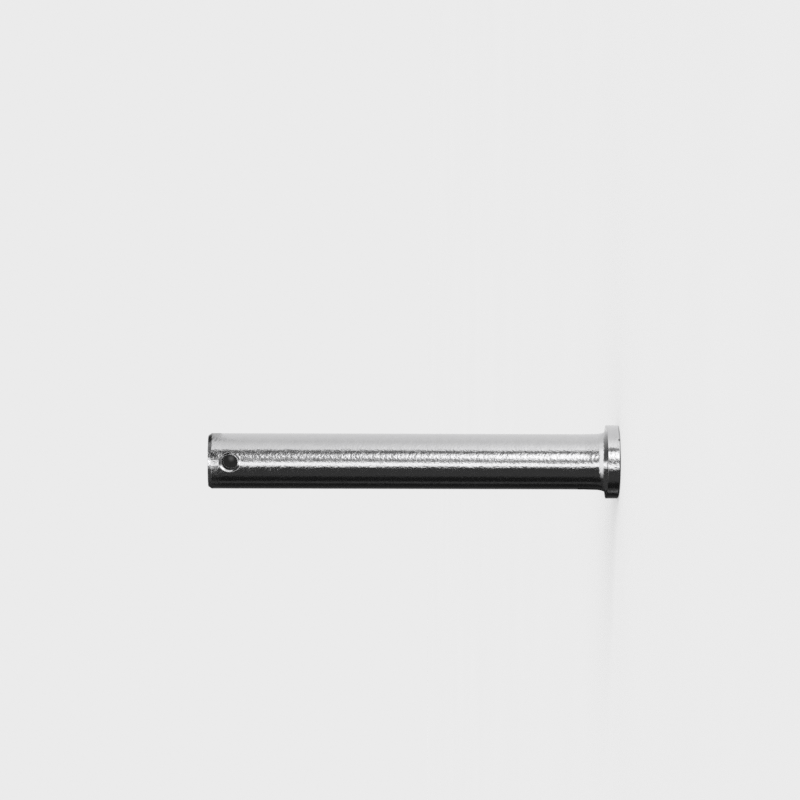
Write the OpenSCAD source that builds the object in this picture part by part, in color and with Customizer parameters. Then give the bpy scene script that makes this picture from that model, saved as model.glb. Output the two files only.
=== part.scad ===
// Clevis pin with a flat head and a cross hole for a split pin.
// The pin stands on its head: the head's end face lies at z = 0,
// the shank rises along +Z, and the cross hole runs along Y.

/* [Shank] */
// Diameter of the shank, for 12 mm holes
shank_d = 11.85; // [10:0.05:12.5]
// Length of the shank, from the underside of the head to the tip
shank_len = 85; // [30:1:160]
// Length of the bevel around the tip, along the axis
tip_len = 0.75; // [0.3:0.05:1.2]
// Depth of the bevel around the tip, on the radius
tip_depth = 0.5; // [0.2:0.05:0.9]

/* [Head] */
// Diameter of the flat head
head_d = 15.7; // [15.2:0.1:22]
// Height of the flat head
head_h = 2.7; // [2:0.1:6]
// Rounding of the head's edge, at its end face
edge_r = 0.35; // [0.15:0.05:0.8]
// Width of the small bevel on the rim of the bearing face
rim_bevel = 0.12; // [0.05:0.01:0.2]

/* [Neck] */
// How much the neck under the head is thicker than the shank, on the radius
neck_swell = 0.08; // [0.05:0.01:0.12]
// Height of the curve from the bearing face up to the neck
neck_len = 1.72; // [1.3:0.02:1.8]
// Length of the gentle taper from the neck up to the shank
neck_taper = 3; // [0.5:0.1:4]
// Radius of the wide curve that the neck flares out with
flare_r = 3.2; // [2.6:0.1:4]

/* [Cross hole] */
// Diameter of the cross hole, for a 3.2 mm split pin
hole_d = 3.2; // [2:0.1:4]
// Distance from the tip to the middle of the cross hole
hole_from_tip = 4.7; // [4.2:0.1:12]
// Diameter of the countersink at the shank's surface
sink_d = 4.6; // [4.2:0.1:5.4]

/* [Hidden] */
$fn = 128;
shank_r = shank_d / 2;
head_r = head_d / 2;
neck_r = shank_r + neck_swell;
// How far the flare runs out over the neck where it meets the bearing face
reach = flare_r - sqrt(pow(flare_r, 2) - pow(neck_len, 2));
total = head_h + shank_len;
hole_z = total - hole_from_tip;
hole_r = hole_d / 2;
sink_r = sink_d / 2;
sink_depth = sink_r - hole_r;
past = 0.6;

// Half of the head's section, with its edge rounded at the end face
module head_section() {
    square([head_r - edge_r, head_h]);
    translate([head_r - edge_r, edge_r]) circle(r = edge_r);
    polygon([
        [0, edge_r], [head_r, edge_r], [head_r, head_h - rim_bevel],
        [head_r - rim_bevel, head_h], [0, head_h]
    ]);
}

// Half of the shank's section, from the bearing face to the bevelled tip
module shank_section() {
    polygon([
        [0, head_h - 0.5],
        [neck_r, head_h - 0.5],
        [neck_r, head_h + neck_len],
        [shank_r, head_h + neck_len + neck_taper],
        [shank_r, total - tip_len],
        [shank_r - tip_depth, total],
        [0, total]
    ]);
}

// Half of the section of the curved neck, which flares out towards the
// bearing face and meets it in a corner
module neck_section() {
    difference() {
        translate([neck_r - 0.4, head_h - 0.4])
            square([reach + 0.7, neck_len + 0.4]);
        translate([neck_r + flare_r, head_h + neck_len]) circle(r = flare_r);
    }
}

// The cross hole, with a 90 degree countersink at each of its mouths
module cross_hole() {
    translate([0, 0, hole_z]) rotate([90, 0, 0]) {
        translate([0, 0, -shank_r - 1]) cylinder(h = shank_d + 2, r = hole_r);
        for (side = [0, 1]) mirror([0, 0, side])
            translate([0, 0, shank_r - sink_depth])
                cylinder(h = sink_depth + past, r1 = hole_r, r2 = sink_r + past);
    }
}

module clevis_pin() {
    color([0.74, 0.75, 0.76])
        difference() {
            rotate_extrude() {
                head_section();
                shank_section();
                neck_section();
            }
            cross_hole();
        }
}

clevis_pin();
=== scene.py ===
import math

import bpy
from mathutils import Matrix, Vector, noise


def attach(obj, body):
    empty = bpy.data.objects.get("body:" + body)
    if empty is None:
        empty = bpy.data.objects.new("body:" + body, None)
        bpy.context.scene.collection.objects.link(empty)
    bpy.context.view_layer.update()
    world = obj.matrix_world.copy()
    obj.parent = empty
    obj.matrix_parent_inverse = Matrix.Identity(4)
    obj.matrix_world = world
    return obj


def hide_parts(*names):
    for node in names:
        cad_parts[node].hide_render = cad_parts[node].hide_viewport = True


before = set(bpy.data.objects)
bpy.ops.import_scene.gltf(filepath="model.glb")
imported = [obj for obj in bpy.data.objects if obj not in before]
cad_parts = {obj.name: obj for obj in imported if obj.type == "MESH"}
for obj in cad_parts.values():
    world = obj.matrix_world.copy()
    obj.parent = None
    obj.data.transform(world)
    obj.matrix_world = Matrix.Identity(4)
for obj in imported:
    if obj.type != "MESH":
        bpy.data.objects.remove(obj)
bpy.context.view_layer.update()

# ---------------------------------------------------------------- sizes, mm
R = 5.925            # shank
TOP = 87.7           # tip face
HEAD_R = 7.85
HEAD_H = 2.7
EDGE_R = 0.35        # rounding of the head's edge at its end face
RIM = 0.12           # the rim of the bearing face
NECK_HI = HEAD_H + 4.72          # where the neck has run out into the shank
TIP_LEN, TIP_DEPTH = 0.75, 0.50  # bevel round the tip
HOLE_Z = 83.0
BORE_R = 1.6
CONE_AT = 5.225      # where the countersink meets the bore, from the axis
CONE_OUT = CONE_AT - BORE_R
SEG = 186            # points round the pin
HALF = 16            # half the width of a hole's patch, in points
CELL = 0.2           # row spacing beside the holes

verts, faces = [], []


def vertex(x, y, z):
    verts.append((x, y, z))
    return len(verts) - 1


def angle(i):
    return -math.pi / 2 + 2 * math.pi * (i % SEG) / SEG


def smooth(t):
    t = min(1.0, max(0.0, t))
    return t * t * (3 - 2 * t)


def soft_noise(x, y, z):
    return noise.noise(Vector((x, y, z)))


def uneven(phi, z):
    """Slow unevenness of the drawn bar, as a change of the radius in mm."""
    c, s = math.cos(phi), math.sin(phi)
    a = soft_noise(1.1 * c + 4.0, 1.1 * s + 7.0, z * 0.055 + 3.0)
    b = soft_noise(3.4 * c - 2.0, 3.4 * s + 1.0, z * 0.16 + 9.0)
    return 0.010 * a + 0.0028 * b


def tip_rough(phi, z):
    """Hammered look close to the tip, as a change of the radius in mm."""
    k = smooth((z - 84.6) / 0.9) * (1 - smooth((z - 86.8) / 0.2))
    if k <= 0:
        return 0.0
    c, s = math.cos(phi), math.sin(phi)
    return 0.006 * k * soft_noise(9.0 * c, 9.0 * s, z * 1.5)


def ring(r, z, dent=None):
    """One closed ring of points at radius r and height z."""
    row = []
    for i in range(SEG):
        a = angle(i)
        rr, zz = r, z
        if dent:
            rr, zz = dent(a, r, z)
        row.append(vertex(rr * math.cos(a), rr * math.sin(a), zz))
    return row


def band(lo, hi, skip=None):
    for i in range(SEG):
        if skip and skip(i):
            continue
        j = (i + 1) % SEG
        faces.append((lo[i], lo[j], hi[j], hi[i]))


# ------------------------------------------------------------- the profile
# Everything below the holes, from the middle of the head's end face
# outwards and then up the shank, as (radius, height) pairs.
def arc(cx, cz, r, a0, a1, n):
    return [(cx + r * math.cos(math.radians(a0 + (a1 - a0) * k / n)),
             cz + r * math.sin(math.radians(a0 + (a1 - a0) * k / n)))
            for k in range(n + 1)]


def head_dent(a, r, z):
    """A nick in the head's end edge and light dents along that edge."""
    if r < 7.0:
        return r, z
    lo = 0.0
    for centre, width, depth in ((-0.867, 0.026, 0.11), (0.70, 0.022, 0.05),
                                 (2.35, 0.040, 0.045), (-2.60, 0.026, 0.06)):
        d = (a - centre + math.pi) % (2 * math.pi) - math.pi
        lo += depth * math.exp(-(d / width) ** 2)
    near_edge = math.exp(-((z - 0.22) / 0.26) ** 2)
    r -= lo * near_edge
    # the pressed head is a touch uneven round its rim
    r += 0.006 * soft_noise(2.2 * math.cos(a), 2.2 * math.sin(a), 5.0 + z * 0.35)
    return r, z


profile = []
r_flat = HEAD_R - EDGE_R
for k in range(1, 15):
    profile.append((r_flat * k / 15, 0.0))
profile += [(r_flat - 0.10, 0.0), (r_flat - 0.02, 0.0)]
profile += arc(r_flat, EDGE_R, EDGE_R, -90, 0, 8)
profile += [(HEAD_R, EDGE_R + 0.03), (HEAD_R, EDGE_R + 0.12)]
z = EDGE_R + 0.28
while z < HEAD_H - RIM - 0.22:
    profile.append((HEAD_R, z))
    z += 0.18
soft = 0.06          # how far the rim's corner is rounded
profile += [(HEAD_R, HEAD_H - soft - 0.10), (HEAD_R, HEAD_H - soft - 0.02)]
profile += arc(HEAD_R - soft, HEAD_H - soft, soft, 0, 90, 6)
# the neck, by its slope against the axis: (height over the head, degrees)
SLOPES = [(0.0, 90.0), (0.06, 66.0), (0.18, 45.0), (0.50, 24.0), (1.05, 12.0),
          (1.60, 7.2), (1.78, 5.6), (1.88, 1.6), (4.40, 1.5), (4.72, 0.0)]


def slope_at(s):
    for (s0, d0), (s1, d1) in zip(SLOPES, SLOPES[1:]):
        if s <= s1:
            return d0 + (d1 - d0) * (s - s0) / (s1 - s0)
    return 0.0


heights = [4.72, 4.5, 4.1, 3.6, 3.1, 2.6, 2.2, 1.95, 1.88, 1.78, 1.7, 1.6, 1.45,
           1.3, 1.15, 1.0, 0.9, 0.8, 0.7, 0.6, 0.5, 0.42, 0.34, 0.27, 0.20, 0.15,
           0.10, 0.06, 0.03, 0.01, 0.0]
neck = [(R, heights[0])]
for hi, lo in zip(heights, heights[1:]):
    mid = math.radians(slope_at((hi + lo) / 2))
    neck.append((neck[-1][0] + math.tan(mid) * (hi - lo), lo))
in_flat = neck[-1][0]
profile += [(HEAD_R - soft - 0.02, HEAD_H), (HEAD_R - soft - 0.12, HEAD_H)]
for k in range(1, 5):
    profile.append((HEAD_R - soft - 0.12
                    + (in_flat + 0.02 - HEAD_R + soft + 0.12) * k / 4, HEAD_H))
profile += [(r, HEAD_H + s) for r, s in reversed(neck)]
# drops doubled points where two runs meet
clean = [profile[0]]
for p in profile[1:]:
    if math.hypot(p[0] - clean[-1][0], p[1] - clean[-1][1]) > 0.004:
        clean.append(p)
profile = clean

centre = vertex(0, 0, 0.0)
rows = []
for r, z in profile:
    if z <= HEAD_H + 1e-6:
        rows.append(ring(r, z, head_dent))
    else:
        rows.append(ring(r, z))
first = rows[0]
for i in range(SEG):
    faces.append((centre, first[(i + 1) % SEG], first[i]))
for lo, hi in zip(rows, rows[1:]):
    band(lo, hi)
below = rows[-1]


def shank_point(a, z):
    fade = smooth((z - NECK_HI) / 1.5)
    r = R + fade * uneven(a, z) + tip_rough(a, z)
    return r * math.cos(a), r * math.sin(a)


def shank_ring(z):
    return [vertex(*shank_point(angle(i), z), z) for i in range(SEG)]


LOW = HOLE_Z - HALF * CELL
steps = 182
for k in range(1, steps + 1):
    z = NECK_HI + (LOW - NECK_HI) * k / steps
    row = shank_ring(z)
    band(below, row)
    below = row

# ------------------------------------------- the two mouths of the hole
CENTRES = (0, SEG // 2)      # on -Y and on +Y


def inside(i):
    return any(min((i - c) % SEG, (c - i) % SEG) < HALF for c in CENTRES)


def in_patch(i):
    return inside(i) or inside(i + 1)


grid = [below]
for k in range(1, 2 * HALF + 1):
    z = LOW + k * CELL
    last = k == 2 * HALF
    row = []
    for i in range(SEG):
        if inside(i) and not last:
            row.append(None)
        else:
            row.append(vertex(*shank_point(angle(i), z), z))
    grid.append(row)
    band(grid[-2], row, in_patch)

SMOOTH_K = 0.07


def soft_min(a, b, k):
    h = max(k - abs(a - b), 0.0) / k
    return min(a, b) - h * h * k / 4


def mouth(side):
    """Rings from the square border of a patch down into the bore.
    Returns the innermost ring, on the bore's wall, and its angles."""
    c = CENTRES[side]
    sign = -1 if side == 0 else 1          # which way the mouth looks, in Y
    border, where = [], []

    def put(col, row):
        border.append(grid[row][(c + col) % SEG])
        # arc distance along the surface towards +X, and height over the hole
        along = col if side == 0 else -col
        where.append((along * 2 * math.pi * R / SEG, (row - HALF) * CELL))

    n = 2 * HALF
    for k in range(n):
        put(-HALF + k, 0)
    for k in range(n):
        put(HALF, k)
    for k in range(n):
        put(HALF - k, n)
    for k in range(n):
        put(-HALF, n - k)
    # the way round: seen from outside it has to be the same on both sides
    turn = [math.atan2(t, s) for s, t in where]

    def rim_at(psi):
        # the countersink meets the shank where CONE_OUT + rho = sqrt(R^2 - x^2)
        rho = 2.0
        for _ in range(30):
            x = rho * math.cos(psi)
            rho = 0.5 * rho + 0.5 * (math.sqrt(R * R - x * x) - CONE_OUT)
        # the mouth was deburred by hand, so it is not quite even
        w = soft_noise(1.3 * math.cos(psi) + 5 * side, 1.3 * math.sin(psi), 2.0)
        # and it bit deeper where the shank curves away
        c = math.cos(psi)
        return rho * (1 + 0.022 * w) * (1 + (0.065 if c > 0 else 0.015) * c * c)

    rims = [rim_at(p) for p in turn]
    levels = []
    # outside the rim: blend from the square border in to the round mouth
    for w in (0.80, 0.62, 0.46, 0.32, 0.21, 0.13):
        levels.append(("blend", w))
    for off in (0.14, 0.095, 0.06, 0.032, 0.012):
        levels.append(("off", off))
    for off in (-0.008, -0.03, -0.06, -0.10):
        levels.append(("off", off))
    for u in (0.76, 0.56, 0.38, 0.22):
        levels.append(("cone", u))
    previous = border
    for kind, value in levels:
        row = []
        for (s, t), psi, rim in zip(where, turn, rims):
            if kind == "blend":
                rs = R * math.asin((rim + 0.17) * math.cos(psi) / R)
                rt = (rim + 0.17) * math.sin(psi)
                ss = rs + (s - rs) * value
                tt = rt + (t - rt) * value
                x, zz = R * math.sin(ss / R), tt
                rho = math.hypot(x, zz)
            elif kind == "off":
                rho = rim + value
                x, zz = rho * math.cos(psi), rho * math.sin(psi)
            else:
                rho = BORE_R + value * (rim - 0.10 - BORE_R)
                x, zz = rho * math.cos(psi), rho * math.sin(psi)
            a = math.atan2(sign * math.sqrt(R * R - x * x), x)
            hx, hy = shank_point(a, HOLE_Z + zz)
            out = math.hypot(hx, hy)
            k_out = out / R
            skin = math.sqrt(max(R * R - x * x, 0.0)) * k_out
            # a slightly raised, uneven lip left by the countersink
            d = rho - rim
            lip = 0.5 + 0.5 * soft_noise(2.2 * math.cos(psi) + 3 + 7 * side,
                                         2.2 * math.sin(psi), 8.0)
            skin += 0.022 * lip * math.exp(-(max(d, 0.0) / 0.11) ** 2)
            y = soft_min(skin, cone_height(rho, rim, psi), SMOOTH_K)
            row.append(vertex(x, sign * y, HOLE_Z + zz))
        join(previous, row)
        previous = row
    # round the corner between the countersink and the bore
    for rho, dy in ((BORE_R + 0.022, 0.016), (BORE_R + 0.007, -0.012),
                    (BORE_R, -0.055)):
        row = []
        for psi in turn:
            row.append(vertex(rho * math.cos(psi), sign * (cone_at(psi) + dy),
                              HOLE_Z + rho * math.sin(psi)))
        join(previous, row)
        previous = row
    return previous, turn


def cone_at(psi):
    """Height over the axis at which the countersink meets the bore."""
    low = max(0.0, -math.sin(psi))
    c = math.cos(psi)
    return CONE_AT - (0.10 if c > 0 else -0.045) * c * c + 0.10 * low * low


def cone_height(rho, rim, psi):
    """Height of the countersink's wall over the axis, in mm: it runs from
    the bore's mouth up to the shank's skin at the rim, slightly crowned."""
    x = rim * math.cos(psi)
    top = math.sqrt(R * R - x * x)
    u = (rho - BORE_R) / (rim - BORE_R)
    at = cone_at(psi)
    return at + (top - at) * u + 0.02 * u * (1 - u)


def join(outer, inner):
    n = len(outer)
    for i in range(n):
        j = (i + 1) % n
        faces.append((outer[i], outer[j], inner[j], inner[i]))


near, turn_near = mouth(0)
far, turn_far = mouth(1)

# the bore's wall joins the two mouths; the far ring is walked so that
# equal angles meet
order = {round(p, 5): v for p, v in zip(turn_far, far)}
far_matched = [order[round(p, 5)] for p in turn_near]
depth = CONE_AT - 0.185
previous = near
cuts = 16
for k in range(1, cuts):
    y = -depth + 2 * depth * k / cuts
    row = []
    for psi in turn_near:
        rr = BORE_R + 0.006 * soft_noise(2 * math.cos(psi), y * 0.9,
                                         2 * math.sin(psi))
        row.append(vertex(rr * math.cos(psi), y, HOLE_Z + rr * math.sin(psi)))
    join(previous, row)
    previous = row
join(previous, far_matched)

# --------------------------------------------------------------- the tip
below = grid[-1]
for z in (86.40, 86.60, 86.76):
    row = shank_ring(z)
    band(below, row)
    below = row
B0 = TOP - TIP_LEN
slope = math.atan2(TIP_DEPTH, TIP_LEN)
top_rows = []


def corner(rc, zc, d_in, d_out, size, n=4):
    """Rounds a corner of the outline with a short curve of n + 1 points."""
    p0 = (rc - d_in[0] * size, zc - d_in[1] * size)
    p2 = (rc + d_out[0] * size, zc + d_out[1] * size)
    pts = []
    for k in range(n + 1):
        t = k / n
        pts.append(((1 - t) ** 2 * p0[0] + 2 * t * (1 - t) * rc + t * t * p2[0],
                    (1 - t) ** 2 * p0[1] + 2 * t * (1 - t) * zc + t * t * p2[1]))
    return pts


up = (0.0, 1.0)
along = (-math.sin(slope), math.cos(slope))
inward = (-1.0, 0.0)
tip_line = corner(R, B0, up, along, 0.07)
face_r = R - TIP_DEPTH
for k in range(1, 7):
    t = k / 7
    tip_line.append((R + (face_r - R) * (0.08 + 0.84 * t),
                     B0 + TIP_LEN * (0.08 + 0.84 * t)))
tip_line += corner(face_r, TOP, along, inward, 0.07)


def face_height(r):
    """The sawn and faced end: faint rings and a small pip at the middle."""
    h = 0.0035 * math.sin(2 * math.pi * r / 0.62 + 0.9 * math.sin(r * 1.7))
    h -= 0.012 * smooth((1.2 - r) / 0.9)
    h += 0.035 * math.exp(-(r / 0.30) ** 2)
    return h


r = face_r - 0.16
while r > 0.10:
    tip_line.append((r, TOP - 0.012 + face_height(r)))
    r -= 0.12
for r, z in tip_line:
    def wobble(a, rr, zz):
        k = smooth((zz - B0) / 0.1)
        d = 0.010 * k * soft_noise(3.1 * math.cos(a), 3.1 * math.sin(a), 20 + zz)
        if zz >= TOP - 0.05 and rr < face_r - 0.1:
            return rr, zz
        return rr + d, zz + d * 0.4
    row = ring(r, z, wobble)
    band(below, row)
    below = row
pip = vertex(0, 0, TOP - 0.012 + face_height(0.0))
for i in range(SEG):
    faces.append((below[i], below[(i + 1) % SEG], pip))

scale = 0.001
mesh = bpy.data.meshes.new("clevis_pin_skin")
mesh.from_pydata([(x * scale, y * scale, z * scale) for x, y, z in verts],
                 [], faces)
mesh.validate()
mesh.update()
mesh.shade_smooth()
pin = bpy.data.objects.new("clevis_pin_skin", mesh)
bpy.context.scene.collection.objects.link(pin)
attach(pin, "root")
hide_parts("clevis_pin")


# -------------------------------------------------------------- node help
class Tree:
    def __init__(self, tree):
        self.tree = tree
        self.nodes, self.links = tree.nodes, tree.links
        self.nodes.clear()

    def add(self, kind, **sets):
        node = self.nodes.new(kind)
        for k, v in sets.items():
            setattr(node, k, v)
        return node

    def link(self, a, b):
        self.links.new(a, b)

    def put(self, socket, value):
        if isinstance(value, bpy.types.NodeSocket):
            self.link(value, socket)
        else:
            socket.default_value = value

    def math(self, op, a, b=0.0, c=None, clamp=False):
        n = self.add("ShaderNodeMath", operation=op, use_clamp=clamp)
        self.put(n.inputs[0], a)
        self.put(n.inputs[1], b)
        if c is not None:
            self.put(n.inputs[2], c)
        return n.outputs[0]

    def step(self, value, lo, hi, kind="SMOOTHSTEP"):
        """0 below lo, 1 above hi, smooth in between (lo may be above hi)."""
        n = self.add("ShaderNodeMapRange", interpolation_type=kind)
        self.put(n.inputs["Value"], value)
        if lo < hi:
            n.inputs["From Min"].default_value = lo
            n.inputs["From Max"].default_value = hi
            n.inputs["To Min"].default_value = 0.0
            n.inputs["To Max"].default_value = 1.0
        else:
            n.inputs["From Min"].default_value = hi
            n.inputs["From Max"].default_value = lo
            n.inputs["To Min"].default_value = 1.0
            n.inputs["To Max"].default_value = 0.0
        return n.outputs["Result"]

    def blend(self, t, a, b):
        """a + (b - a) * t for plain numbers or sockets."""
        n = self.add("ShaderNodeMix", data_type="FLOAT")
        self.put(n.inputs[0], t)
        self.put(n.inputs[2], a)
        self.put(n.inputs[3], b)
        return n.outputs[0]

    def mapped(self, vector, scale, offset=(0, 0, 0)):
        n = self.add("ShaderNodeMapping")
        self.link(vector, n.inputs["Vector"])
        n.inputs["Scale"].default_value = scale
        n.inputs["Location"].default_value = offset
        return n.outputs["Vector"]

    def noise(self, vector, size, detail=2.0, rough=0.5, distort=0.0):
        n = self.add("ShaderNodeTexNoise")
        self.link(vector, n.inputs["Vector"])
        n.inputs["Scale"].default_value = size
        n.inputs["Detail"].default_value = detail
        n.inputs["Roughness"].default_value = rough
        n.inputs["Distortion"].default_value = distort
        return n.outputs["Fac"]

    def ramp(self, value, stops, kind="LINEAR"):
        n = self.add("ShaderNodeValToRGB")
        n.color_ramp.interpolation = kind
        el = n.color_ramp.elements
        while len(el) > 1:
            el.remove(el[-1])
        el[0].position = stops[0][0]
        el[0].color = (stops[0][1],) * 3 + (1,)
        for p, v in stops[1:]:
            e = el.new(p)
            e.color = (v, v, v, 1)
        self.put(n.inputs[0], value)
        return n.outputs["Color"]


# ------------------------------------------------------- the plated steel
steel = bpy.data.materials.new("zinc_steel")
steel.use_nodes = True
t = Tree(steel.node_tree)
out = t.add("ShaderNodeOutputMaterial")
bsdf = t.add("ShaderNodeBsdfPrincipled")
t.link(bsdf.outputs["BSDF"], out.inputs["Surface"])

coord = t.add("ShaderNodeTexCoord")
mm = t.mapped(coord.outputs["Object"], (1000, 1000, 1000))
sep = t.add("ShaderNodeSeparateXYZ")
t.link(mm, sep.inputs[0])
X, Y, Z = sep.outputs
radius = t.math("SQRT", t.math("ADD", t.math("MULTIPLY", X, X),
                               t.math("MULTIPLY", Y, Y)))
# the grain is a little longer along the pin than round it
round_mm = t.mapped(coord.outputs["Object"], (850, 850, 680))

grain = t.noise(round_mm, 2.8, 2.0, 0.5)
fine = t.noise(round_mm, 7.0, 1.0, 0.5)
patch = t.noise(mm, 0.42, 2.0, 0.5)
wave = t.noise(t.mapped(coord.outputs["Object"], (500, 500, 650)), 1.0, 1.0, 0.5)
near_tip = t.step(Z, 84.3, 85.7)


def gap(a, b):
    d = t.math("SUBTRACT", a, b)
    return t.math("MULTIPLY", d, d)


def bell(distance, at_mm, width):
    """1 where the distance is at_mm, falling off over the width."""
    d = t.math("DIVIDE", t.math("SUBTRACT", distance, at_mm), width)
    return t.math("EXPONENT", t.math("MULTIPLY", t.math("MULTIPLY", d, d), -1.0))


in_bore = t.step(t.math("SQRT", t.math(
    "ADD", t.math("MULTIPLY", X, X), gap(Z, HOLE_Z))), BORE_R + 0.12, BORE_R - 0.02)
in_bore = t.math("MULTIPLY", in_bore, t.step(Z, HOLE_Z - 3.3, HOLE_Z - 2.8))
# only points deeper than the countersink's rim, not the skin beside it
deep = t.step(t.math("ABSOLUTE", Y), CONE_AT + 0.10, CONE_AT - 0.12)
in_bore = t.math("MULTIPLY", in_bore, deep)
crevice = t.math("MULTIPLY", t.step(Z, HEAD_H + 0.42, HEAD_H + 0.10),
                 t.step(Z, HEAD_H - 0.10, HEAD_H))
crevice = t.math("MULTIPLY", crevice, t.step(radius, 7.0, 6.7))
end_face = t.step(Z, TOP - 0.10, TOP - 0.03)
# painted shade: the low side of the countersink is darkened to stand in for a dark
# reflection
from_hole = t.math("SQRT", t.math(
    "ADD", t.math("MULTIPLY", X, X), gap(Z, HOLE_Z)))
cone = t.math("MULTIPLY", t.step(from_hole, 2.12, 1.95),
              t.step(t.math("ABSOLUTE", Y), 4.8, 5.0))
low_side = t.math("ADD", X, t.math("SUBTRACT", Z, HOLE_Z))
cone_shade = t.step(low_side, -2.10, -2.50)
cone_shade = t.math("MULTIPLY", cone_shade, cone)
# painted shade: the edge that the head stands on is darkened, standing in for contact
# shade
foot_shade = t.math("MULTIPLY", t.step(Z, 0.32, 0.14), t.step(radius, 7.40, 7.56))
# a small round mark beside the hole, and a faint scratch round the shank
mark = t.math("SQRT", t.math("ADD", t.math("ADD", gap(X, 1.52), gap(Y, -5.73)),
                             gap(Z, 85.2)))
groove = t.math("ABSOLUTE", t.math("SUBTRACT", Z, 57.35))

# fine rings left by handling and turning, running round the pin
lines = t.noise(t.mapped(coord.outputs["Object"], (45, 45, 4600)), 1.0, 2.0, 0.6)
# a few longer scratches
scr_a = t.add("ShaderNodeTexVoronoi", feature="DISTANCE_TO_EDGE")
t.link(t.mapped(coord.outputs["Object"], (190, 190, 60), (3.1, 1.7, 0.4)),
       scr_a.inputs["Vector"])
scratch = t.step(scr_a.outputs["Distance"], 0.012, 0.0)

# heights in mm
h = t.math("MULTIPLY", grain, 0.0262)
h = t.math("ADD", h, t.math("MULTIPLY", fine, 0.0070))
h = t.math("MULTIPLY", h, t.blend(patch, 0.60, 1.40))
h = t.math("MULTIPLY", h, t.blend(near_tip, 1.0, 1.75))
h = t.math("ADD", h, t.math("MULTIPLY", wave, 0.010))
h = t.math("ADD", h, t.math("MULTIPLY", lines, 0.0005))
h = t.math("SUBTRACT", h, t.math("MULTIPLY", scratch, 0.0012))
h = t.math("ADD", h, t.math("MULTIPLY", bell(mark, 0.30, 0.09), 0.020))
h = t.math("SUBTRACT", h, t.math("MULTIPLY", bell(mark, 0.0, 0.20), 0.030))
h = t.math("SUBTRACT", h, t.math("MULTIPLY", bell(groove, 0.0, 0.10), 0.0016))
bump = t.add("ShaderNodeBump")
bump.inputs["Strength"].default_value = 1.0
bump.inputs["Distance"].default_value = 0.001
t.link(h, bump.inputs["Height"])
t.link(bump.outputs["Normal"], bsdf.inputs["Normal"])

rough = t.blend(patch, 0.07, 0.13)
rough = t.math("ADD", rough, t.math("MULTIPLY", near_tip, 0.06))
rough = t.blend(crevice, rough, 0.16)
rough = t.blend(end_face, rough, 0.30)
rough = t.blend(in_bore, rough, 0.36)
t.link(rough, bsdf.inputs["Roughness"])
# the sawn end is matt where the plating lies thin on it
t.link(t.blend(end_face, 1.0, t.blend(patch, 0.50, 0.75)), bsdf.inputs["Metallic"])

tone = t.blend(t.noise(mm, 0.9, 3.0, 0.6), 0.72, 0.82)
# painted shade: darker in the crease between the neck and the bearing face
tone = t.math("MULTIPLY", tone, t.blend(crevice, 1.0, 0.90))
# painted shade: the bore's wall is darkened to half
tone = t.math("MULTIPLY", tone, t.blend(in_bore, 1.0, 0.50))
# painted shade in the low side of the countersink
tone = t.math("MULTIPLY", tone, t.blend(cone_shade, 1.0, 0.30))
# darker in the nick of the head's edge
nick = t.math("SQRT", t.math("ADD", t.math("ADD", gap(X, 5.08), gap(Y, -5.88)),
                             gap(Z, 0.18)))
tone = t.math("MULTIPLY", tone, t.blend(t.step(nick, 0.40, 0.20), 1.0, 0.35))
# painted shade on the edge the head stands on
tone = t.math("MULTIPLY", tone, t.blend(foot_shade, 1.0, 0.36))
mix = t.add("ShaderNodeCombineColor")
t.link(tone, mix.inputs[0])
t.link(tone, mix.inputs[1])
t.link(t.math("MULTIPLY", tone, 1.008), mix.inputs[2])
t.link(mix.outputs[0], bsdf.inputs["Base Color"])
mesh.materials.append(steel)

# ------------------------------------------------------- floor and light
pale = bpy.data.materials.new("pale_floor")
pale.use_nodes = True
t = Tree(pale.node_tree)
out = t.add("ShaderNodeOutputMaterial")
bsdf = t.add("ShaderNodeBsdfPrincipled")
t.link(bsdf.outputs["BSDF"], out.inputs["Surface"])
bsdf.inputs["Roughness"].default_value = 0.9
bsdf.inputs["Specular IOR Level"].default_value = 0.0
coord = t.add("ShaderNodeTexCoord")
v = t.noise(coord.outputs["Object"], 9.0, 3.0, 0.5)
g = t.blend(v, 0.39, 0.41)
mix = t.add("ShaderNodeCombineColor")
for k in range(3):
    t.link(g, mix.inputs[k])
t.link(mix.outputs[0], bsdf.inputs["Base Color"])
# lit a little from within, like a light table, so that it keeps even and pale
bsdf.inputs["Emission Color"].default_value = (1, 1, 1, 1)
bsdf.inputs["Emission Strength"].default_value = 0.433

FLOOR = 1.9
fm = bpy.data.meshes.new("studio_floor")
ring_n = 96
fv = [(0, 0, 0)] + [(FLOOR * math.cos(2 * math.pi * k / ring_n),
                     FLOOR * math.sin(2 * math.pi * k / ring_n), 0)
                    for k in range(ring_n)]
fm.from_pydata(fv, [], [(0, 1 + k, 1 + (k + 1) % ring_n)
                        for k in range(ring_n)])
fm.materials.append(pale)
floor = bpy.data.objects.new("studio_floor", fm)
bpy.context.scene.collection.objects.link(floor)
floor.visible_glossy = False

black = bpy.data.materials.new("black_cloth")
black.use_nodes = True
t = Tree(black.node_tree)
out = t.add("ShaderNodeOutputMaterial")
bsdf = t.add("ShaderNodeBsdfPrincipled")
t.link(bsdf.outputs["BSDF"], out.inputs["Surface"])
bsdf.inputs["Roughness"].default_value = 0.95
bsdf.inputs["Specular IOR Level"].default_value = 0.0
coord = t.add("ShaderNodeTexCoord")
v = t.noise(t.mapped(coord.outputs["Object"], (1000, 1000, 1000)), 3.0, 2.0, 0.5)
g = t.blend(v, 0.016, 0.034)
mix = t.add("ShaderNodeCombineColor")
for k in range(3):
    t.link(g, mix.inputs[k])
t.link(mix.outputs[0], bsdf.inputs["Base Color"])


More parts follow.
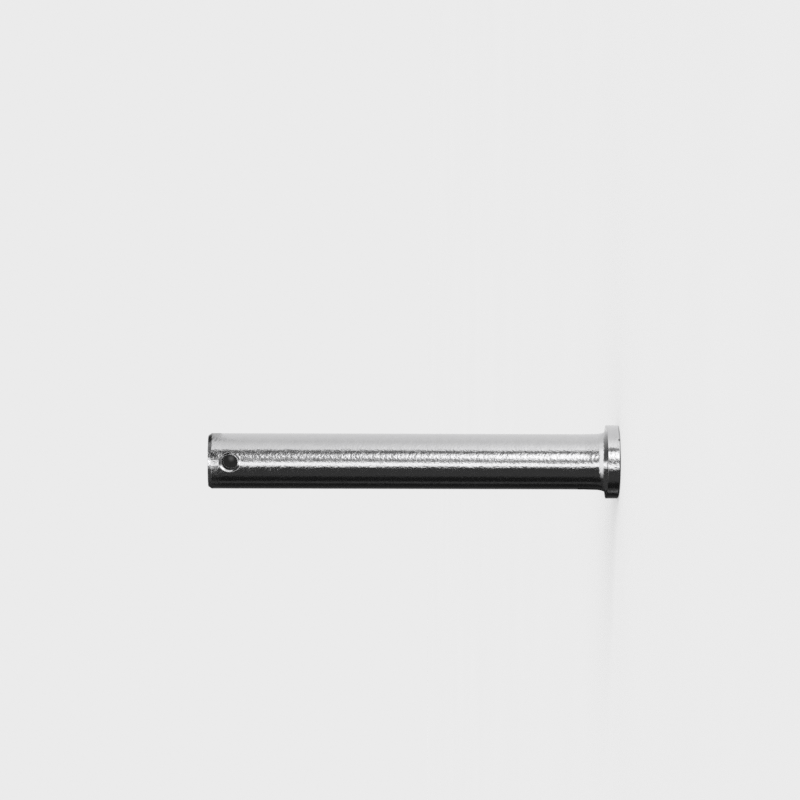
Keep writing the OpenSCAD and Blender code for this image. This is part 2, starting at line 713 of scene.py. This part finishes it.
def glowing(name, strength, patch_at=None):
    """A card that glows evenly, or with a lighter patch (mm, radius)."""
    m = bpy.data.materials.new(name)
    m.use_nodes = True
    t = Tree(m.node_tree)
    out = t.add("ShaderNodeOutputMaterial")
    bsdf = t.add("ShaderNodeBsdfPrincipled")
    t.link(bsdf.outputs["BSDF"], out.inputs["Surface"])
    bsdf.inputs["Roughness"].default_value = 0.95
    bsdf.inputs["Specular IOR Level"].default_value = 0.0
    bsdf.inputs["Base Color"].default_value = (0.03, 0.03, 0.03, 1)
    bsdf.inputs["Emission Color"].default_value = (1, 1, 1, 1)
    coord = t.add("ShaderNodeTexCoord")
    mm = t.mapped(coord.outputs["Object"], (1000, 1000, 1000))
    level = t.blend(t.noise(mm, 3.6, 2.0, 0.6), 0.3 * strength, 1.7 * strength)
    if patch_at:
        (px, pz), size, more = patch_at
        sep = t.add("ShaderNodeSeparateXYZ")
        t.link(mm, sep.inputs[0])
        ax = t.math("SUBTRACT", sep.outputs[0], px)
        az = t.math("SUBTRACT", sep.outputs[2], pz)
        far = t.math("SQRT", t.math("ADD", t.math("MULTIPLY", ax, ax),
                                    t.math("MULTIPLY", az, az)))
        level = t.math("ADD", level, t.math("MULTIPLY", t.step(far, size, 0.0), more))
    t.link(level, bsdf.inputs["Emission Strength"])
    return m


def stage_piece(name, points, polygons, material):
    m = bpy.data.meshes.new(name)
    m.from_pydata([(x * scale, y * scale, z * scale) for x, y, z in points],
                  [], polygons)
    m.materials.append(material)
    o = bpy.data.objects.new(name, m)
    bpy.context.scene.collection.objects.link(o)
    return o


# painted shade: a dark disc half-way down the cross hole stands in for the shade
# inside it, so that the hole looks dark; it glows faintly, and the front one has a
# lighter glowing patch, painted light
trap_n = 40


def trap(name, y, material):
    o = stage_piece(name, [(0, y, HOLE_Z)]
                    + [(1.585 * math.cos(2 * math.pi * k / trap_n), y,
                        HOLE_Z + 1.585 * math.sin(2 * math.pi * k / trap_n))
                       for k in range(trap_n)],
                    [(0, 1 + k, 1 + (k + 1) % trap_n) for k in range(trap_n)],
                    material)
    return o


# painted shade discs in the bore; the front one has a lighter patch, painted light
trap("hole_shade_disc", -0.02,
     glowing("hole_shade_glow", 0.020, ((0.55, HOLE_Z - 0.15), 0.9, 0.075)))
trap("hole_shade_disc_back", 0.02, glowing("hole_shade_glow_back", 0.020))


def flag(name, points, material=black):
    """A card that only mirror images see, black unless it glows."""
    o = stage_piece(name, points, [(0, 1, 2, 3)], material)
    o.visible_camera = False
    o.visible_diffuse = False
    o.visible_transmission = False
    o.visible_volume_scatter = False
    o.visible_shadow = False
    return o


# behind the tip: dim just over its level and black above
flag("flag_dim", [(0, 8.0, 87.2), (90, 8.0, 87.2), (90, 8.0, 90.5),
                  (0, 8.0, 90.5)], glowing("dim_card", 0.33))
flag("flag_low", [(-30, 8.0, 87.2), (0, 8.0, 87.2), (0, 8.0, 90.5),
                  (-30, 8.0, 90.5)])
flag("flag_behind", [(-30, 8.0, 90.5), (90, 8.0, 90.5), (90, 8.0, 112),
                     (-30, 8.0, 112)])
# behind the lower half of the bearing face
flag("flag_under", [(-16, 9.5, 2.75), (-6.1, 9.5, 2.75), (-6.1, 9.5, 8.0),
                    (-16, 9.5, 8.0)])
flag("flag_dim_low", [(0, 8, 85.2), (90, 8, 85.2), (90, 8, 87.2), (0, 8, 87.2)],
     glowing("dim_low", 0.50))
# over the hole: black on one side of it and a lamp straight above
flag("flag_hole", [(14, -9.0, 88.5), (14, -2.6, 88.5), (14, -2.6, 97.0),
                   (14, -9.0, 97.0)])
lamp_card = glowing("lamp_card", 1.5)
flag("lamp_hole", [(-1, -8.5, 106), (9, -8.5, 106), (9, -3, 106), (-1, -3, 106)],
     lamp_card)
flag("lamp_hole_low", [(-3, -11.2, 106), (3.0, -11.2, 106), (3.0, -8.6, 106),
                       (-3, -8.6, 106)], lamp_card)
LAMP_TIP = []
for a_deg, e_deg in ((-5, 61), (23, 61), (23, 71), (-5, 71)):
    a_rad, e_rad = math.radians(a_deg + 3.71), math.radians(e_deg)
    LAMP_TIP.append((25 * math.cos(e_rad) * math.sin(a_rad),
                     -5.7 - 25 * math.cos(e_rad) * math.cos(a_rad),
                     87.3 + 25 * math.sin(e_rad)))
flag("lamp_tip", LAMP_TIP, lamp_card)
# a faint card low on the dark side of the head
CARD_LOW = []
for a_deg, zz in ((-107, -7.0), (-97, -7.0), (-97, -1.2), (-107, -1.2)):
    a_rad = math.radians(a_deg + 3.71)
    CARD_LOW.append((60 * math.sin(a_rad), -60 * math.cos(a_rad), zz))
flag("card_low", CARD_LOW, glowing("faint_card", 0.13))
# in front of the tip on the bright side
FRONT_FLAG = []
for a_deg, zz in ((7, 84.6), (38, 84.6), (38, 108.0), (7, 108.0)):
    a_rad = math.radians(a_deg + 3.71)
    FRONT_FLAG.append((34 * math.sin(a_rad), -34 * math.cos(a_rad), zz))
flag("flag_front", FRONT_FLAG)

sun_data = bpy.data.lights.new("studio_key", "SUN")
sun_data.energy = 1.15
sun_data.angle = math.radians(38)
sun = bpy.data.objects.new("studio_key", sun_data)
bpy.context.scene.collection.objects.link(sun)
sun.rotation_mode = "QUATERNION"
sun.rotation_quaternion = Vector((-0.45, 0.60, -1.0)).to_track_quat("-Z", "Y")
sun.visible_glossy = False

world = bpy.data.worlds.new("studio")
bpy.context.scene.world = world
world.use_nodes = True
t = Tree(world.node_tree)
out = t.add("ShaderNodeOutputWorld")
path = t.add("ShaderNodeLightPath")
coord = t.add("ShaderNodeTexCoord")
sep = t.add("ShaderNodeSeparateXYZ")
t.link(coord.outputs["Generated"], sep.inputs[0])
dx, dy, dz = sep.outputs
DEG = 180 / math.pi
elev = t.math("MULTIPLY", t.math("ARCSINE", dz), DEG)
az = t.math("MULTIPLY", t.math("ARCTAN2", dx, t.math("MULTIPLY", dy, -1.0)), DEG)
KEY_AZ = 3.71        # the way the bright panel stands, from -Y towards +X
az = t.math("SUBTRACT", az, KEY_AZ)
az = t.math("WRAP", az, 180.0, -180.0)
# the studio round the pin, by angle in degrees: pale on one side, dark on
# the other, and a bright split panel in front. It is a little different
# higher up, where the tip looks, and lower down, where the head looks.
HIGH = [
    (-180, 0.75), (-170, 0.55), (-161, 0.10), (-150, 0.045), (-130, 0.016),
    (-112, 0.009), (-107, 0.009), (-104, 0.030), (-101, 0.050), (-97, 0.050),
    (-94, 0.020), (-91, 0.008), (-69, 0.010), (-64, 0.040), (-45, 0.036),
    (-24, 0.034), (-20.3, 1.08), (-3, 1.16), (0, 0.05), (12, 0.05),
    (15.8, 1.26), (24.2, 1.26), (27.2, 0.025), (46.0, 0.025), (48.8, 0.74),
    (62, 0.72), (80, 0.64), (90, 0.60), (98, 0.64), (125, 0.72), (180, 0.78),
]
LOWER = [
    (-180, 0.75), (-170, 0.55), (-161, 0.10), (-150, 0.045), (-130, 0.014),
    (-112, 0.008), (-107, 0.008), (-104, 0.030), (-101, 0.050), (-97, 0.050),
    (-94, 0.020), (-91, 0.008), (-69, 0.010), (-64, 0.040), (-45, 0.042),
    (-24, 0.036), (-20.3, 1.20), (-6, 1.24), (-3.5, 0.44), (7, 0.44),
    (10, 1.30), (31, 1.34), (35.0, 0.22), (42, 0.22), (46, 1.04),
    (56, 0.96), (68, 0.86), (79, 0.75), (90, 0.71), (180, 0.80),
]
# a little above the level: one wide pale panel, and dark beside it
ABOVE = [
    (-180, 0.60), (-170, 0.45), (-158, 0.08), (-145, 0.03), (-75, 0.03),
    (-72, 0.03), (-65, 0.26), (-58, 0.38), (-48, 0.62), (-40, 0.90), (-20, 1.00),
    (46, 1.05), (56, 0.85), (78, 0.80), (90, 0.68), (180, 0.66),
]
# high up, by the angle at which a surface has to face to look there: dark
# on one side, a narrow lamp over the middle, and growing paler on the other
OVERHEAD = [
    (-90, 0.05), (-60, 0.045), (-13.5, 0.045), (-10, 1.20), (-2, 1.20),
    (0.6, 0.13), (6, 0.10), (15, 0.085), (20, 0.09), (26, 0.14), (35, 0.23),
    (50, 0.38), (67, 0.60), (90, 0.62),
]
# well below the level
BELOW = [
    (-180, 0.40), (-150, 0.20), (-130, 0.03), (-60, 0.03), (-30, 0.12),
    (0, 0.30), (30, 0.50), (60, 1.35), (110, 1.35), (150, 0.70), (180, 0.50),
]
PEAK = 1.4
at = t.math("DIVIDE", t.math("ADD", az, 180.0), 360.0)


def panel(stops, top=PEAK):
    """The value round the compass for a list of (angle, value)."""
    return t.math("MULTIPLY", t.ramp(at, [((a + 180) / 360, v / top)
                                          for a, v in stops]), top)


down = t.step(elev, 2.4, -4.4, "LINEAR")
studio = t.blend(down, panel(HIGH), panel(LOWER))
# lowest of all, where only the head looks, the line between the strips shifts
lowest = [(a - 3.8, v if v > 0.5 else 0.08) if -7 < a < 11 else (a, v)
          for a, v in LOWER]
studio = t.blend(t.step(elev, -4.02, -4.22), studio, panel(lowest))
# the upper one of the two bright strips ends just above the level
strip = t.math("MULTIPLY", t.step(az, 10.0, 14.0), t.step(az, 32.0, 28.0))
strip = t.math("MULTIPLY", strip, t.step(elev, 1.0, 1.8))
studio = t.blend(strip, studio, 0.06)
starts = panel([(-180, 10), (-60, 10), (-24, 5.5), (-14, 3.6), (8, 3.6), (14, 6.2),
                (30, 6.2), (36, 3.6), (180, 3.6)], 30.0)
studio = t.blend(t.step(t.math("SUBTRACT", elev, starts), 0.0, 1.6),
                 studio, panel(ABOVE))
# the pale panel ends lower behind than in front
ends = panel([(-180, 16), (-120, 16), (-60, 20), (-20, 25), (60, 25),
              (110, 14), (180, 16)], 30.0)
over = t.step(t.math("SUBTRACT", elev, ends), 0.0, 8.0)
level = t.math("SQRT", t.math("SUBTRACT", 1.0, t.math("MULTIPLY", dz, dz)))
turn = t.math("DIVIDE", az, DEG)
facing = t.math("ARCTAN2", t.math("MULTIPLY", level, t.math("SINE", turn)),
                t.math("ADD", t.math("MULTIPLY", level, t.math("COSINE", turn)), 1.0))
facing = t.math("ADD", t.math("DIVIDE", facing, math.pi), 0.5)
high_up = t.math("MULTIPLY", t.ramp(facing, [((a + 90) / 180, v / PEAK)
                                            for a, v in OVERHEAD]), PEAK)
studio = t.blend(over, studio, high_up)
studio = t.blend(t.step(elev, -28.0, -40.0), studio, panel(BELOW))
studio = t.blend(t.step(elev, -72.0, -80.0), studio, 0.05)
glow = t.add("ShaderNodeBackground")
t.link(studio, glow.inputs["Color"])
glow.inputs["Strength"].default_value = 1.0
plain = t.add("ShaderNodeBackground")
plain.inputs["Color"].default_value = (1, 1, 1, 1)
plain.inputs["Strength"].default_value = 0.83
soft_fill = t.add("ShaderNodeBackground")
soft_fill.inputs["Color"].default_value = (1, 1, 1, 1)
soft_fill.inputs["Strength"].default_value = 0.70
m1 = t.add("ShaderNodeMixShader")
t.link(path.outputs["Is Camera Ray"], m1.inputs[0])
t.link(soft_fill.outputs[0], m1.inputs[1])
t.link(plain.outputs[0], m1.inputs[2])
m2 = t.add("ShaderNodeMixShader")
t.link(path.outputs["Is Glossy Ray"], m2.inputs[0])
t.link(m1.outputs[0], m2.inputs[1])
t.link(glow.outputs[0], m2.inputs[2])
t.link(m2.outputs[0], out.inputs["Surface"])

bpy.context.scene.view_settings.view_transform = "Standard"
# denoising would wipe out the steel's fine grain
bpy.context.scene.cycles.use_denoising = False

# ------------------------------------------------------------ the camera
cam_data = bpy.data.cameras.new("camera")
cam_data.lens = 162.5
cam_data.sensor_width = 36.0
cam_data.clip_start, cam_data.clip_end = 0.01, 20.0
cam = bpy.data.objects.new("camera", cam_data)
bpy.context.scene.collection.objects.link(cam)
right = Vector((0.00364, -0.01353, -0.9999))
back = Vector((0.04773, -0.99877, 0.01369)).normalized()
right = (right - back * right.dot(back)).normalized()
top = back.cross(right)
rot = Matrix((right, top, back)).transposed()
cam.matrix_world = Matrix.Translation((0.050005, -0.771402, 0.057369)) @ rot.to_4x4()
bpy.context.scene.camera = cam
